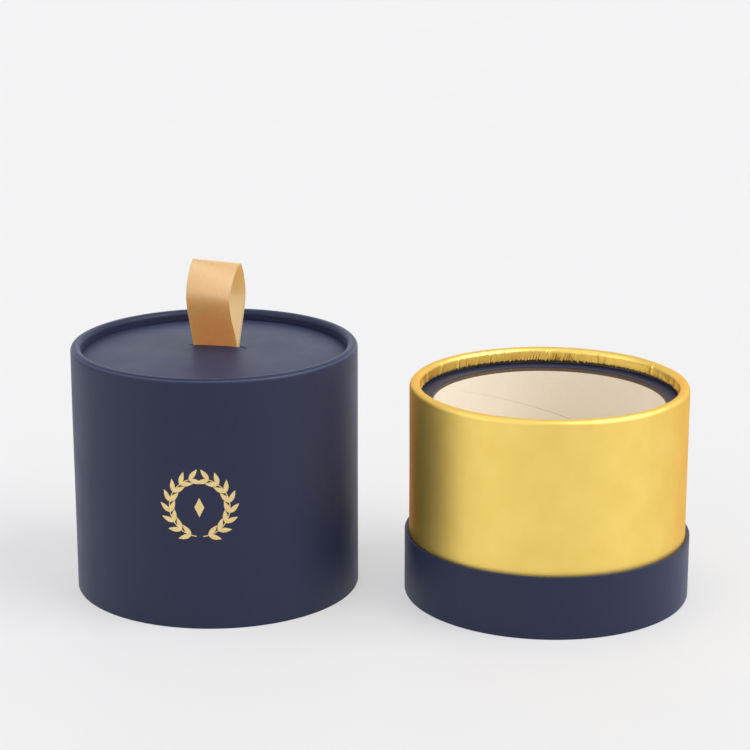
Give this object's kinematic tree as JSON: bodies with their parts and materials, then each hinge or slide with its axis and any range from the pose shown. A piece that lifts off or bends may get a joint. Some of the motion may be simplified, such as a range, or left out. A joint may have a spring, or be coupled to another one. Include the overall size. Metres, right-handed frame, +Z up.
{
  "type": "gift tube box",
  "caption": "Round gift box shown open: navy paper lid with rolled rim and satin pull loop, beside a base with gold foil neck, card seat ring and cream-lined inner tube.",
  "frame": {"origin": "centre of the underside of the base", "axes": "+Z up along the axis of the base; the lid stands beside the base along -X"},
  "size_m": [0.1952, 0.09, 0.1047],
  "materials": {
    "navy_paper": "matt fine-grained navy",
    "gold_paper": "satin metallic gold foil",
    "cream_paper": "matt uncoated cream",
    "tube_board": "raw wound board",
    "seat_card": "raw cut card",
    "kraft_paper": "matt kraft",
    "satin_ribbon": "satin weave, champagne gold"
  },
  "bodies": {
    "base": {"base_foot_paper": "navy_paper", "base_collar_tube": "tube_board", "base_collar_paper": "navy_paper", "neck_tube": "tube_board", "neck_gold_paper": "gold_paper", "base_disc": "tube_board", "base_floor_paper": "cream_paper", "holder_tube": "tube_board", "holder_lining": "cream_paper", "seat_ring_board": "seat_card", "seat_ring_paper": "navy_paper"},
    "lid": {"lid_cover_paper": "navy_paper", "lid_tube": "tube_board", "lid_lining": "cream_paper", "lid_top_paper": "navy_paper", "lid_top_board": "tube_board", "lid_inner_card": "cream_paper", "ribbon_tails": "satin_ribbon", "ribbon_patch": "kraft_paper"},
    "ribbon": {"ribbon_loop": "satin_ribbon"}
  },
  "joints": [
    {"name": "lid_lift", "type": "slide", "parent": "base", "child": "lid", "axis": [0, 0, 1], "range_m": [0, 0.08]},
    {"name": "ribbon_fold", "type": "hinge", "parent": "lid", "child": "ribbon", "pos_m": [-0.1052, 0, 0.07792], "axis": [0.9848, -0.1736, 0], "range_deg": [-60, 60], "stiffness_Nm_per_rad": 0.0005}
  ]
}
